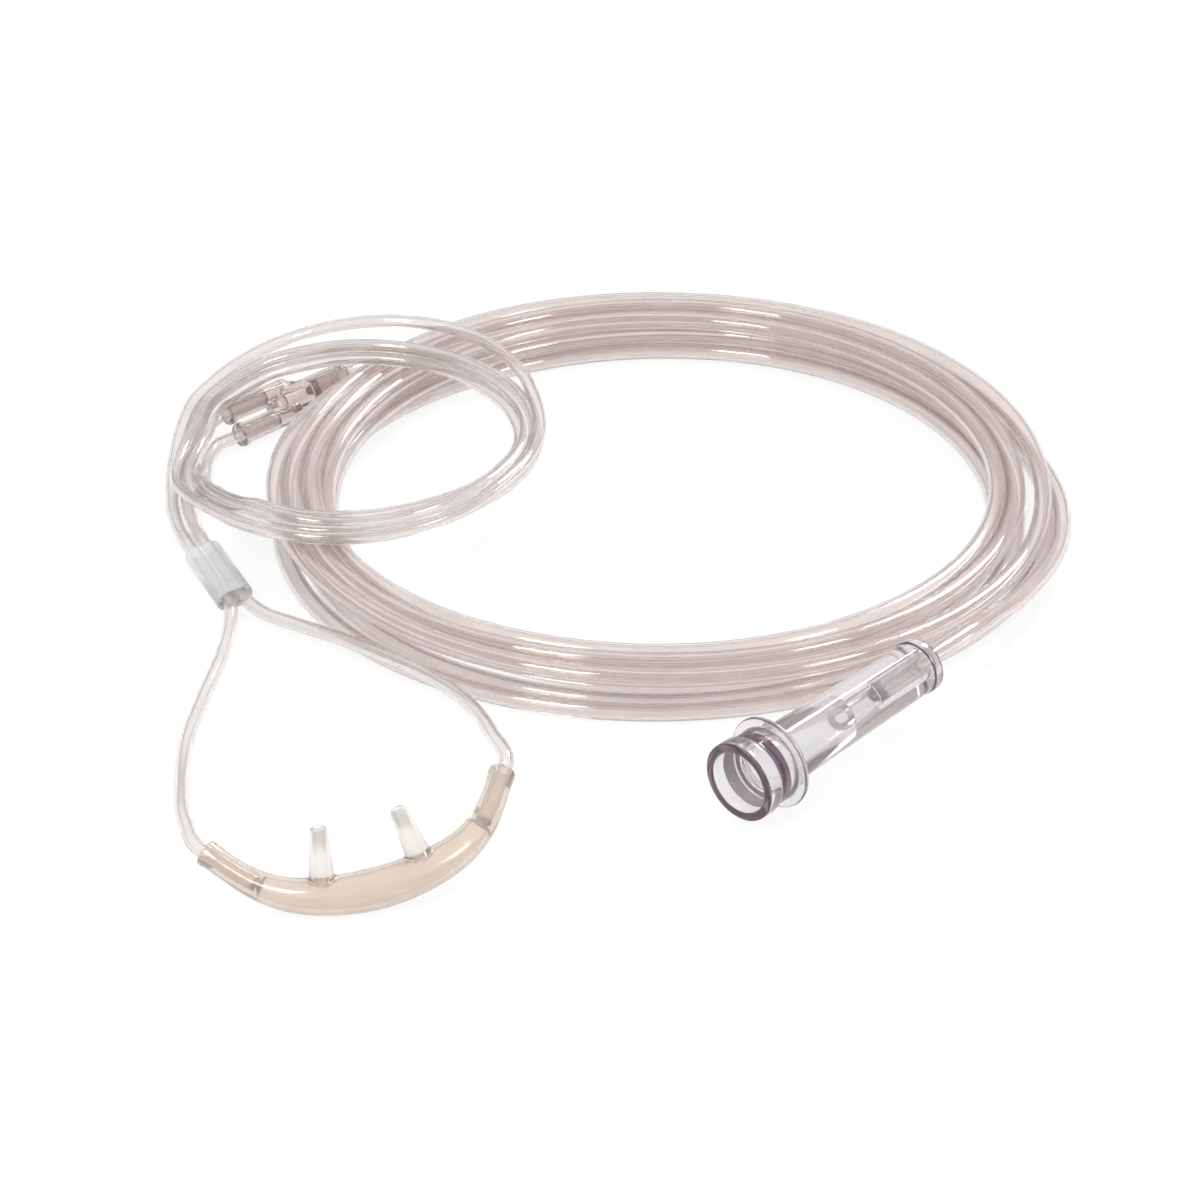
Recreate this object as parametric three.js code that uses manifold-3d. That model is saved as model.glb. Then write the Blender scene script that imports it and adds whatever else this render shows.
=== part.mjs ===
// Nasal oxygen cannula: a facepiece with two prongs, two small tubes, a slide, a Y connector,
// a coiled supply tube and a clear flared connector. Millimetres, +Z up, lying on a level floor.
import * as THREE from 'three';
import { mergeVertices } from 'three/addons/utils/BufferGeometryUtils.js';
import Module from 'manifold-3d';

// Tubes and the gap that separate pieces keep
const smallTubeDiameter = 3.2;
const supplyTubeDiameter = 4.4;
const fitGap = 0.3;
const floorGap = 0.05;
const cutPast = 1.0; // how far a cutting solid runs past the face it cuts

// Facepiece
const faceHalfChord = 32.6;
const faceSagitta = 19.3;
const faceBellyDiameter = 9.0;
const faceNeckDiameter = 5.4;
const faceEndDiameter = 6.1;
const faceEndFlare = 5.0;
const faceLip = 0.5;
const faceSwell = 1.9;
const faceWall = 1.4;
const faceSocketDepth = 14.0;
const facePassageDiameter = 2.4;
const prongSpacing = 22.4;
const prongLength = 11.0;
const prongBaseDiameter = 5.6;
const prongTipDiameter = 3.7;
const prongBoreDiameter = 2.2;
const prongLean = 38.0;
const prongToeIn = 10.0;
const prongSway = 2.0;
const prongMiddleShift = -1.2;
const faceMiddle = new THREE.Vector3(-51.6, -107.8, 12.69);
const faceChordWay = new THREE.Vector3(0.9486, 0.2937, 0.118).normalize();
const faceInwardWay = new THREE.Vector3(-0.3161, 0.8607, 0.399).normalize();

// Slide, a flat oval sleeve over both small tubes
const slideLength = 22.0;
const slideWall = 0.9;
const slideRoll = 10.0;
const slideTravel = 6.0;
const slideMiddle = new THREE.Vector2(-89.2, 6.0);
const slideWay = new THREE.Vector2(-0.4, 0.9165).normalize();

// Y connector
const yBarrelDiameter = 5.4;
const yBarrelLength = 18.0;
const yStemDiameter = 7.0;
const yStemLength = 18.0;
const ySmallSocketDepth = 12.0;
const yStemSocketDepth = 11.0;
const yPassageDiameter = 2.2;
const yRimHeight = 0.35;
const yRimLength = 1.6;
const yRimBevel = 0.35;
const yShoulder = 2.5;
const yWebThickness = 3.4;
const yWebBack = 6.0;
const yWebFront = 4.0;
const yCrossWidth = 2.0;
const yRoll = 41.0;
const yStemEnd = new THREE.Vector2(-65.2, 100.9);
const yWay = new THREE.Vector2(0.71, 0.7).normalize();

// Supply connector
const connectorLength = 61.8;
const mouthDiameter = 14.4;
const mouthDepth = 7.3;
const mouthRingDiameter = 18.4;
const mouthRingLength = 4.0;
const neckDiameter = 17.2;
const flangeDiameter = 21.4;
const flangeSetback = 11.2;
const flangeThickness = 1.2;
const bodyFrontDiameter = 13.9;
const bodyRearDiameter = 12.2;
const rearRimDiameter = 12.8;
const rearRimLength = 2.4;
const coneMouthDiameter = 11.4;
const coneBottomDiameter = 7.4;
const coneDepth = 33.8;
const portDiameter = 3.2;
const tubeSocketDepth = 18.0;
const connectorBevel = 0.5;
const flangeFillet = 1.5;
const neckStep = 0.3;
const ringSlope = 0.8;
const connectorRear = new THREE.Vector3(71.6, -48.2, 12.4);
const connectorAzimuth = 227.0;

// Supply coil
const supplyCoilCentre = new THREE.Vector2(14.9, 39.3);
const supplyCoilOuterRadius = 94.5;
const supplyCoilWidth = 16.5;
const supplyCoilHeight = 13.5;

// Small coil: angle in degrees, middle radius, underside height, width and height of its bundle
const smallCoilCentre = new THREE.Vector2(-60.5, 51.0);
const smallCoilStations = [
  [0, 43.6, 13.2, 7.4, 6.8],
  [35, 43.9, 13.8, 9.4, 6.4],
  [65, 44.4, 13.9, 9.8, 6.0],
  [92, 44.0, 13.9, 9.8, 6.0],
  [115, 43.8, 13.0, 9.6, 6.0],
  [146, 43.0, 10.9, 9.6, 6.0],
  [161, 41.2, 5.6, 10.0, 6.0],
  [173, 39.6, 3.7, 10.4, 6.0],
  [190, 38.6, 3.7, 10.4, 6.0],
  [206, 38.2, 6.6, 10.4, 5.6],
  [222, 39.3, 9.4, 10.6, 5.0],
  [240, 42.6, 13.4, 11.6, 4.2],
  [256, 44.6, 13.9, 13.0, 3.8],
  [275, 44.6, 13.9, 13.2, 3.8],
  [300, 43.4, 13.8, 12.0, 4.6],
  [330, 42.8, 13.4, 9.0, 6.0],
];

// Facets
const tubeSides = 8;
const roundSides = 20;
const supplyCoilSides = 72;
const smallCoilSides = 64;

const degrees = Math.PI / 180;
const up = new THREE.Vector3(0, 0, 1);
const smallTubeRadius = smallTubeDiameter / 2;
const supplyTubeRadius = supplyTubeDiameter / 2;
const pairSpacing = smallTubeDiameter + fitGap;
const smallSocketRadius = smallTubeRadius + fitGap;
const supplySocketRadius = supplyTubeRadius + fitGap;

const wasm = await Module();
wasm.setup();

// Closed three.js shape to a manifold solid
function toSolid(geometry) {
  const bare = geometry.clone();
  bare.deleteAttribute('normal');
  bare.deleteAttribute('uv');
  const welded = mergeVertices(bare, 1e-5);
  const vertProperties = new Float32Array(welded.attributes.position.array);
  const triVerts = new Uint32Array(welded.index.array);
  return new wasm.Manifold(new wasm.Mesh({ numProp: 3, vertProperties, triVerts }));
}

// Manifold solid back to a three.js shape
function toGeometry(solid) {
  const mesh = solid.getMesh();
  const geometry = new THREE.BufferGeometry();
  geometry.setAttribute('position', new THREE.BufferAttribute(new Float32Array(mesh.vertProperties), 3));
  geometry.setIndex(new THREE.BufferAttribute(new Uint32Array(mesh.triVerts), 1));
  geometry.computeVertexNormals();
  return geometry;
}

// Turned solid on the X axis; the profile lists [distance along, radius], from axis to axis or closed
function turned(profile, sides = roundSides) {
  const points = profile.map(([along, radius]) => new THREE.Vector2(radius, along));
  const geometry = new THREE.LatheGeometry(points, sides);
  geometry.rotateZ(-Math.PI / 2);
  return geometry;
}

// Section of a round tube
function roundSection(diameter, sides = tubeSides) {
  const outline = [];
  for (let i = 0; i < sides; i += 1) {
    const angle = ((i + 0.5) / sides) * 2 * Math.PI;
    outline.push(new THREE.Vector2(Math.cos(angle), Math.sin(angle)).multiplyScalar(diameter / 2));
  }
  return new THREE.Shape(outline);
}

// Plain tube along a smooth curve through the points
function tubeAlong(points, diameter, stepLength) {
  const curve = new THREE.CatmullRomCurve3(points, false, 'centripetal');
  const steps = Math.ceil(curve.getLength() / stepLength);
  return new THREE.ExtrudeGeometry(roundSection(diameter), {
    extrudePath: curve,
    steps,
    bevelEnabled: false,
  });
}

// Moves a turned solid from the X axis onto a curve that lies in one plane
function bentOnto(geometry, curve, planeNormal, start) {
  const position = geometry.attributes.position;
  const total = curve.getLength();
  for (let i = 0; i < position.count; i += 1) {
    const along = start + position.getX(i);
    const share = THREE.MathUtils.clamp(along / total, 0, 1);
    const centre = curve.getPointAt(share);
    const tangent = curve.getTangentAt(share);
    const side = new THREE.Vector3().crossVectors(planeNormal, tangent).normalize();
    centre.addScaledVector(tangent, along - share * total);
    centre.addScaledVector(side, position.getY(i));
    centre.addScaledVector(planeNormal, position.getZ(i));
    position.setXYZ(i, centre.x, centre.y, centre.z);
  }
  return geometry;
}

// Facepiece: its own plane, its curve and the two prongs
const faceNormal = new THREE.Vector3().crossVectors(faceChordWay, faceInwardWay).normalize();
const faceCurveShape = [
  [-1, 1],
  [-0.877, 0.69],
  [-0.742, 0.415],
  [-0.552, 0.19],
  [-0.276, 0.045],
  [0, 0],
  [0.276, 0.045],
  [0.552, 0.19],
  [0.742, 0.415],
  [0.877, 0.69],
  [1, 1],
];
const faceCurve = new THREE.CatmullRomCurve3(
  faceCurveShape.map(([across, rise]) => faceMiddle.clone()
    .addScaledVector(faceChordWay, across * faceHalfChord)
    .addScaledVector(faceInwardWay, (rise - 1) * faceSagitta)),
  false,
  'centripetal',
);
faceCurve.arcLengthDivisions = 400;
const faceLength = faceCurve.getLength();

function facePoint(along) {
  const share = THREE.MathUtils.clamp(along / faceLength, 0, 1);
  const past = along - share * faceLength;
  return faceCurve.getPointAt(share).addScaledVector(faceCurve.getTangentAt(share), past);
}

// Radius of the outside: a swelling belly, thinner necks and slightly flared ends
function faceRadius(along) {
  const swell = Math.sin(Math.PI * THREE.MathUtils.clamp(along / faceLength, 0, 1)) ** faceSwell;
  const fromEnd = Math.min(along, faceLength - along);
  const flare = Math.max(0, 1 - fromEnd / faceEndFlare) ** 2;
  return (faceNeckDiameter + (faceBellyDiameter - faceNeckDiameter) * swell
    + (faceEndDiameter - faceNeckDiameter) * flare) / 2;
}

function faceBody() {
  const profile = [[0, 0], [0, faceEndDiameter / 2 - faceLip]];
  const rings = 26;
  for (let i = 0; i <= rings; i += 1) {
    const along = faceLip + (i / rings) * (faceLength - 2 * faceLip);
    profile.push([along, faceRadius(along)]);
  }
  profile.push([faceLength, faceEndDiameter / 2 - faceLip], [faceLength, 0]);
  return bentOnto(turned(profile), faceCurve, faceNormal, 0);
}

// Both sockets and, between them, the hollow that leaves the moulded wall
function facePassage() {
  const socketEnd = faceSocketDepth + fitGap;
  const profile = [
    [-cutPast, 0],
    [-cutPast, smallSocketRadius],
    [socketEnd / 2, smallSocketRadius],
    [socketEnd, smallSocketRadius],
    [socketEnd, facePassageDiameter / 2],
  ];
  const rings = 12;
  for (let i = 1; i < rings; i += 1) {
    const along = socketEnd + (i / rings) * (faceLength - 2 * socketEnd);
    profile.push([along, Math.max(facePassageDiameter / 2, faceRadius(along) - faceWall)]);
  }
  profile.push(
    [faceLength - socketEnd, facePassageDiameter / 2],
    [faceLength - socketEnd, smallSocketRadius],
    [faceLength - socketEnd / 2, smallSocketRadius],
    [faceLength + cutPast, smallSocketRadius],
    [faceLength + cutPast, 0],
  );
  return bentOnto(turned(profile, 16), faceCurve, faceNormal, 0);
}

// Places a solid that stands on the X axis at a prong's root, side -1 or 1
function onProng(geometry, side) {
  const root = facePoint(faceLength / 2 + prongMiddleShift + side * prongSpacing / 2);
  const lean = prongLean * degrees;
  const way = faceNormal.clone().multiplyScalar(Math.cos(lean)).addScaledVector(faceInwardWay, Math.sin(lean));
  const turnAxis = new THREE.Vector3().crossVectors(way, faceChordWay).normalize();
  way.applyAxisAngle(turnAxis, -(side * prongToeIn + prongSway) * degrees);
  geometry.applyQuaternion(new THREE.Quaternion().setFromUnitVectors(new THREE.Vector3(1, 0, 0), way));
  geometry.translate(root.x, root.y, root.z);
  return geometry;
}

function prongBody(side) {
  const tip = prongTipDiameter / 2;
  const tipRound = 0.7;
  const reach = prongLength + faceBellyDiameter / 2;
  return onProng(turned([
    [0, 0],
    [0, prongBaseDiameter / 2],
    [faceBellyDiameter / 2, prongBaseDiameter / 2],
    [reach - tipRound, tip],
    [reach, tip - tipRound / 2],
    [reach, 0],
  ]), side);
}

function prongBore(side) {
  const reach = prongLength + faceBellyDiameter / 2;
  return onProng(turned([
    [0, 0],
    [0, prongBoreDiameter / 2],
    [reach + cutPast, prongBoreDiameter / 2],
    [reach + cutPast, 0],
  ], 12), side);
}

function facepieceGeometry() {
  const outside = toSolid(faceBody()).add(toSolid(prongBody(-1))).add(toSolid(prongBody(1)));
  const hollow = toSolid(facePassage()).add(toSolid(prongBore(-1))).add(toSolid(prongBore(1)));
  return toGeometry(outside.subtract(hollow));
}

// Slide: its section is two half rounds joined by flats, and its bore holds the pair side by side
const slideBoreHalfHeight = smallTubeRadius + fitGap;
const slideHalfHeight = slideBoreHalfHeight + slideWall;
const slideFlatHalf = pairSpacing / 2;
const slideHeight = slideHalfHeight + slideFlatHalf * Math.sin(slideRoll * degrees) + floorGap;
const slideAxis = new THREE.Vector3(slideWay.x, slideWay.y, 0);
const slideCentre = new THREE.Vector3(slideMiddle.x, slideMiddle.y, slideHeight);
const slideAcross = new THREE.Vector3(slideWay.y, -slideWay.x, 0)
  .multiplyScalar(Math.cos(slideRoll * degrees))
  .addScaledVector(up, Math.sin(slideRoll * degrees));

function ovalPath(path, halfFlat, radius) {
  path.moveTo(-halfFlat, -radius);
  path.lineTo(halfFlat, -radius);
  path.absarc(halfFlat, 0, radius, -Math.PI / 2, Math.PI / 2, false);
  path.lineTo(-halfFlat, radius);
  path.absarc(-halfFlat, 0, radius, Math.PI / 2, Math.PI * 1.5, false);
  return path;
}

function slideGeometry() {
  const outline = ovalPath(new THREE.Shape(), slideFlatHalf, slideHalfHeight);
  outline.holes.push(ovalPath(new THREE.Path(), slideFlatHalf, slideBoreHalfHeight));
  const geometry = new THREE.ExtrudeGeometry(outline, {
    depth: slideLength,
    bevelEnabled: false,
    curveSegments: 8,
  });
  geometry.translate(0, 0, -slideLength / 2);
  const upright = new THREE.Vector3().crossVectors(slideAxis, slideAcross).normalize();
  geometry.applyMatrix4(new THREE.Matrix4().makeBasis(slideAcross, upright, slideAxis));
  geometry.translate(slideCentre.x, slideCentre.y, slideCentre.z);
  return geometry;
}

// A point on the pair inside the slide's straight stretch: side -1 left or 1 right, distance towards the coil
function pairPoint(side, along) {
  return slideCentre.clone()
    .addScaledVector(slideAxis, along)
    .addScaledVector(slideAcross, side * pairSpacing / 2);
}

// Y connector: x runs from the small sockets to the stem end
const yLength = yBarrelLength + yStemLength;
const yBarrelSpacing = smallTubeDiameter * 2;
const yAcross = new THREE.Vector3(yWay.y, -yWay.x, 0)
  .multiplyScalar(Math.cos(yRoll * degrees))
  .addScaledVector(up, -Math.sin(yRoll * degrees));
const yAxis = new THREE.Vector3(yWay.x, yWay.y, 0);
const yHeight = yBarrelDiameter / 2 + yRimHeight + floorGap + (yBarrelSpacing / 2) * Math.sin(yRoll * degrees);
const yStart = new THREE.Vector3(yStemEnd.x, yStemEnd.y, yHeight).addScaledVector(yAxis, -yLength);

// side 1 is the lower barrel, side -1 the upper one
function yPoint(along, side = 0) {
  return yStart.clone().addScaledVector(yAxis, along).addScaledVector(yAcross, side * yBarrelSpacing / 2);
}

function yGeometry() {
  const barrel = yBarrelDiameter / 2;
  const stem = yStemDiameter / 2;
  const webInset = 0.15;
  let outside = null;
  let hollow = null;
  for (const side of [-1, 1]) {
    const shift = side * yBarrelSpacing / 2;
    const outer = turned([
      [0, 0],
      [0, barrel + yRimHeight - yRimBevel],
      [yRimBevel, barrel + yRimHeight],
      [yRimLength, barrel + yRimHeight],
      [yRimLength + yRimBevel, barrel],
      [yBarrelLength + cutPast, barrel],
      [yBarrelLength + cutPast, 0],
    ]).translate(0, shift, 0);
    const bore = turned([
      [-cutPast, 0],
      [-cutPast, smallSocketRadius],
      [ySmallSocketDepth + fitGap, smallSocketRadius],
      [ySmallSocketDepth + fitGap, yPassageDiameter / 2],
      [yBarrelLength, yPassageDiameter / 2],
      [yBarrelLength, 0],
    ], 16).translate(0, shift, 0);
    outside = outside ? outside.add(toSolid(outer)) : toSolid(outer);
    hollow = hollow ? hollow.add(toSolid(bore)) : toSolid(bore);
  }
  const stemTurned = turned([
    [yBarrelLength - yShoulder, 0],
    [yBarrelLength - yShoulder, stem],
    [yLength - yRimLength - yRimBevel, stem],
    [yLength - yRimLength, stem + yRimHeight],
    [yLength - yRimBevel, stem + yRimHeight],
    [yLength, stem + yRimHeight - yRimBevel],
    [yLength, 0],
  ]);
  const webBarrelSide = yBarrelSpacing / 2 + barrel - webInset;
  const webStemSide = stem - webInset;
  const webOutline = new THREE.Shape([
    new THREE.Vector2(yBarrelLength - yWebBack, -yBarrelSpacing / 2),
    new THREE.Vector2(yBarrelLength, -webBarrelSide),
    new THREE.Vector2(yBarrelLength + yWebFront, -webStemSide),
    new THREE.Vector2(yBarrelLength + yWebFront, webStemSide),
    new THREE.Vector2(yBarrelLength, webBarrelSide),
    new THREE.Vector2(yBarrelLength - yWebBack, yBarrelSpacing / 2),
  ]);
  const web = new THREE.ExtrudeGeometry(webOutline, { depth: yWebThickness, bevelEnabled: false });
  web.translate(0, 0, -yWebThickness / 2);
  const stemBore = turned([
    [yBarrelLength - yCrossWidth, 0],
    [yBarrelLength - yCrossWidth, yPassageDiameter],
    [yLength - yStemSocketDepth - fitGap, yPassageDiameter / 2],
    [yLength - yStemSocketDepth - fitGap, supplySocketRadius],
    [yLength + cutPast, supplySocketRadius],
    [yLength + cutPast, 0],
  ], 16);
  const crossBore = new THREE.ExtrudeGeometry(new THREE.Shape([
    new THREE.Vector2(yBarrelLength - yCrossWidth * 1.5, -yBarrelSpacing / 2),
    new THREE.Vector2(yBarrelLength - yCrossWidth / 2, -yBarrelSpacing / 2),
    new THREE.Vector2(yBarrelLength - yCrossWidth / 2, yBarrelSpacing / 2),
    new THREE.Vector2(yBarrelLength - yCrossWidth * 1.5, yBarrelSpacing / 2),
  ]), { depth: yPassageDiameter, bevelEnabled: false }).translate(0, 0, -yPassageDiameter / 2);
  outside = outside.add(toSolid(stemTurned)).add(toSolid(web));
  hollow = hollow.add(toSolid(stemBore)).add(toSolid(crossBore));
  const geometry = toGeometry(outside.subtract(hollow));
  const upright = new THREE.Vector3().crossVectors(yAxis, yAcross).normalize();
  geometry.applyMatrix4(new THREE.Matrix4().makeBasis(yAxis, yAcross, upright));
  geometry.translate(yStart.x, yStart.y, yStart.z);
  return geometry;
}

// Supply connector: x runs from the rear to the front face, which rests on its flange's edge
const flangeFromRear = connectorLength - flangeSetback;
const connectorDip = Math.asin((connectorRear.z - flangeDiameter / 2 - floorGap) / flangeFromRear);
const connectorAxis = new THREE.Vector3(
  Math.cos(connectorAzimuth * degrees) * Math.cos(connectorDip),
  Math.sin(connectorAzimuth * degrees) * Math.cos(connectorDip),
  -Math.sin(connectorDip),
);

function connectorPoint(fromRear) {
  return connectorRear.clone().addScaledVector(connectorAxis, fromRear);
}

function connectorGeometry() {
  const front = connectorLength;
  const flangeFront = front - flangeSetback + flangeThickness;
  const flangeBack = front - flangeSetback;
  const bevel = connectorBevel;
  const profile = [
    [0, supplySocketRadius + bevel],
    [0, rearRimDiameter / 2 - bevel],
    [bevel, rearRimDiameter / 2],
    [rearRimLength, rearRimDiameter / 2],
    [rearRimLength + bevel, bodyRearDiameter / 2],
    [flangeBack - flangeFillet, bodyFrontDiameter / 2],
    [flangeBack, bodyFrontDiameter / 2 + bevel],
    [flangeBack, flangeDiameter / 2 - bevel / 2],
    [flangeBack + bevel / 2, flangeDiameter / 2],
    [flangeFront - bevel / 2, flangeDiameter / 2],
    [flangeFront, flangeDiameter / 2 - bevel / 2],
    [flangeFront + neckStep, neckDiameter / 2],
    [front - mouthRingLength - ringSlope, neckDiameter / 2],
    [front - mouthRingLength, mouthRingDiameter / 2],
    [front - bevel, mouthRingDiameter / 2],
    [front, mouthRingDiameter / 2 - bevel],
    [front, mouthDiameter / 2 + bevel],
    [front - bevel, mouthDiameter / 2],
    [front - mouthDepth, mouthDiameter / 2],
    [front - mouthDepth, coneMouthDiameter / 2],
    [front - coneDepth, coneBottomDiameter / 2],
    [front - coneDepth, portDiameter / 2],
    [tubeSocketDepth + fitGap, portDiameter / 2],
    [tubeSocketDepth + fitGap, supplySocketRadius],
    [bevel, supplySocketRadius],
    [0, supplySocketRadius + bevel],
  ];
  const geometry = toGeometry(toSolid(turned(profile, 28)));
  geometry.applyQuaternion(new THREE.Quaternion().setFromUnitVectors(new THREE.Vector3(1, 0, 0), connectorAxis));
  geometry.translate(connectorRear.x, connectorRear.y, connectorRear.z);
  return geometry;
}

// Section of a bundle of tubes: a rectangle of half sizes 1 with its corners cut
function bundleSection(corner) {
  return [
    [1, 1 - corner],
    [1 - corner, 1],
    [corner - 1, 1],
    [-1, 1 - corner],
    [-1, corner - 1],
    [corner - 1, -1],
    [1 - corner, -1],
    [1, corner - 1],
    [1, 1 - corner],
  ];
}

function supplyCoilGeometry() {
  const middle = supplyCoilOuterRadius - supplyCoilWidth / 2;
  const points = bundleSection(0.4).map(([across, rise]) => new THREE.Vector2(
    middle + across * supplyCoilWidth / 2,
    (rise + 1) * supplyCoilHeight / 2 + floorGap,
  ));
  const geometry = new THREE.LatheGeometry(points, supplyCoilSides);
  geometry.rotateX(Math.PI / 2);
  geometry.translate(supplyCoilCentre.x, supplyCoilCentre.y, 0);
  return geometry;
}

// Values of the small coil's stations at any angle, smoothed round the loop
function smallCoilAt(angle) {
  const count = smallCoilStations.length;
  const turn = ((angle % 360) + 360) % 360;
  let last = count - 1;
  for (let i = 0; i < count; i += 1) {
    if (smallCoilStations[i][0] <= turn) {
      last = i;
    }
  }
  const before = smallCoilStations[last];
  const after = smallCoilStations[(last + 1) % count];
  const gap = ((after[0] - before[0]) + 360) % 360;
  const share = (((turn - before[0]) + 360) % 360) / gap;
  const smooth = share * share * (3 - 2 * share);
  return before.slice(1).map((value, i) => value + (after[i + 1] - value) * smooth);
}

// Ring that lies over the supply coil on one side and comes down to the floor on the other
function smallCoilGeometry() {
  const unitRadius = 10;
  const points = bundleSection(0.45).map(([across, rise]) => new THREE.Vector2(unitRadius + across, rise));
  const geometry = new THREE.LatheGeometry(points, smallCoilSides);
  geometry.rotateX(Math.PI / 2);
  const position = geometry.attributes.position;
  for (let i = 0; i < position.count; i += 1) {
    const angle = Math.atan2(position.getY(i), position.getX(i));
    const across = Math.hypot(position.getX(i), position.getY(i)) - unitRadius;
    const [radius, underside, width, height] = smallCoilAt(angle / degrees);
    const reach = radius + across * width / 2;
    position.setXYZ(
      i,
      smallCoilCentre.x + Math.cos(angle) * reach,
      smallCoilCentre.y + Math.sin(angle) * reach,
      underside + (position.getZ(i) + 1) * height / 2,
    );
  }
  return geometry;
}

// Route of a stretch whose points are given as [x, y, z]
function route(points) {
  return points.map(([x, y, z]) => new THREE.Vector3(x, y, z));
}

// The pair from under the coil, through the slide, to the facepiece's two sockets
const pairStraight = slideLength / 2 + slideTravel;
const leftTube = [
  ...route([[-103.9, 49.5, 1.7], [-102.7, 39.0, 1.7], [-100.7, 30.5, 1.7]]),
  pairPoint(-1, pairStraight + 1),
  pairPoint(-1, slideLength / 4),
  pairPoint(-1, -slideLength / 4),
  pairPoint(-1, -slideLength / 2 - 1.5),
  ...route([
    [-85.2, -13.0, 1.8],
    [-86.2, -27.0, 1.65],
    [-89.0, -45.0, 1.65],
    [-91.0, -62.0, 2.3],
    [-90.8, -79.5, 4.5],
    [-89.8, -92.7, 7.2],
    [-88.8, -101.8, 8.8],
    [-87.2, -108.9, 9.6],
  ]),
  facePoint(-3),
  facePoint(faceSocketDepth / 3),
  facePoint(faceSocketDepth * 2 / 3),
  facePoint(faceSocketDepth),
];
const rightTube = [
  ...route([[-100.4, 49.0, 1.7], [-99.2, 39.8, 1.7], [-97.3, 32.3, 1.75]]),
  pairPoint(1, pairStraight + 1),
  pairPoint(1, slideLength / 4),
  pairPoint(1, -slideLength / 4),
  pairPoint(1, -slideLength / 2 - 1.0),
  ...route([
    [-77.6, -10.6, 3.0],
    [-69.2, -17.0, 3.6],
    [-60.2, -24.7, 5.1],
    [-50.7, -35.1, 7.4],
    [-40.9, -47.0, 10.2],
    [-33.0, -59.4, 13.0],
    [-27.0, -72.7, 15.6],
    [-23.2, -84.8, 17.4],
  ]),
  facePoint(faceLength + 3),
  facePoint(faceLength - faceSocketDepth / 3),
  facePoint(faceLength - faceSocketDepth * 2 / 3),
  facePoint(faceLength - faceSocketDepth),
];

// From the Y connector's small sockets down to the coil
const leftTubeLead = [
  yPoint(ySmallSocketDepth, -1),
  yPoint(ySmallSocketDepth / 2, -1),
  yPoint(-1.5, -1),
  ...route([[-98.4, 71.5, 4.6], [-99.6, 65.5, 2.4], [-99.9, 59.5, 1.7], [-99.8, 54.0, 1.7]]),
];
const rightTubeLead = [
  yPoint(ySmallSocketDepth, 1),
  yPoint(ySmallSocketDepth / 2, 1),
  yPoint(-1.5, 1),
  ...route([[-94.3, 70.6, 2.3], [-96.0, 64.8, 1.8], [-96.4, 59.4, 1.7], [-96.3, 54.0, 1.7]]),
];

// The strand that stands off the small coil at the back
const leftTubeLoop = route([
  [-85.0, 95.6, 15.0],
  [-78.4, 101.6, 15.8],
  [-69.6, 106.4, 16.6],
  [-60.0, 108.8, 17.2],
  [-50.4, 108.8, 17.6],
  [-40.6, 106.0, 18.0],
  [-31.2, 99.0, 18.0],
  [-24.8, 90.4, 18.0],
  [-21.2, 83.6, 18.0],
]);

// Supply tube from the stem to the outside of its coil, and from there to the connector
function besideSupplyCoil(angle, gap, height) {
  const reach = supplyCoilOuterRadius + supplyTubeRadius + gap;
  return new THREE.Vector3(
    supplyCoilCentre.x + reach * Math.cos(angle * degrees),
    supplyCoilCentre.y + reach * Math.sin(angle * degrees),
    height,
  );
}
const supplyTubeLead = [
  yPoint(yLength - yStemSocketDepth),
  yPoint(yLength - yStemSocketDepth / 2),
  yPoint(yLength + 2),
  besideSupplyCoil(136, 3.2, 4.4),
  besideSupplyCoil(130, 1.4, 4.0),
  besideSupplyCoil(122, 0.5, 4.0),
  besideSupplyCoil(114, 0.5, 4.0),
];
const supplyTubeEnd = [
  besideSupplyCoil(-26, 0.5, 8.0),
  besideSupplyCoil(-33, 0.5, 9.0),
  besideSupplyCoil(-40, 1.2, 10.4),
  besideSupplyCoil(-46, 3.4, 11.8),
  connectorPoint(-3),
  connectorPoint(tubeSocketDepth / 2),
  connectorPoint(tubeSocketDepth),
];

const smallStep = 8.0;
const supplyStep = 9.0;
const clearTube = { color: 0xd8cdca, roughness: 0.16, metalness: 0 };
const clearSmallTube = { color: 0xdcd8d6, roughness: 0.2, metalness: 0 };
const peachSoft = { color: 0xe8cfbc, roughness: 0.3, metalness: 0 };
const frosted = { color: 0xdfe2e8, roughness: 0.5, metalness: 0 };
const clearRigid = { color: 0xcfc7cc, roughness: 0.08, metalness: 0 };

const pieces = [
  ['nasal_facepiece', facepieceGeometry(), peachSoft],
  ['left_tube', tubeAlong(leftTube, smallTubeDiameter, smallStep), clearSmallTube],
  ['right_tube', tubeAlong(rightTube, smallTubeDiameter, smallStep), clearSmallTube],
  ['slide_sleeve', slideGeometry(), frosted],
  ['small_coil', smallCoilGeometry(), clearSmallTube],
  ['left_tube_loop', tubeAlong(leftTubeLoop, smallTubeDiameter, smallStep), clearSmallTube],
  ['left_tube_lead', tubeAlong(leftTubeLead, smallTubeDiameter, smallStep), clearSmallTube],
  ['right_tube_lead', tubeAlong(rightTubeLead, smallTubeDiameter, smallStep), clearSmallTube],
  ['y_connector', yGeometry(), clearRigid],
  ['supply_tube_lead', tubeAlong(supplyTubeLead, supplyTubeDiameter, supplyStep), clearTube],
  ['supply_coil', supplyCoilGeometry(), clearTube],
  ['supply_tube_end', tubeAlong(supplyTubeEnd, supplyTubeDiameter, supplyStep), clearTube],
  ['supply_connector', connectorGeometry(), clearRigid],
];

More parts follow.
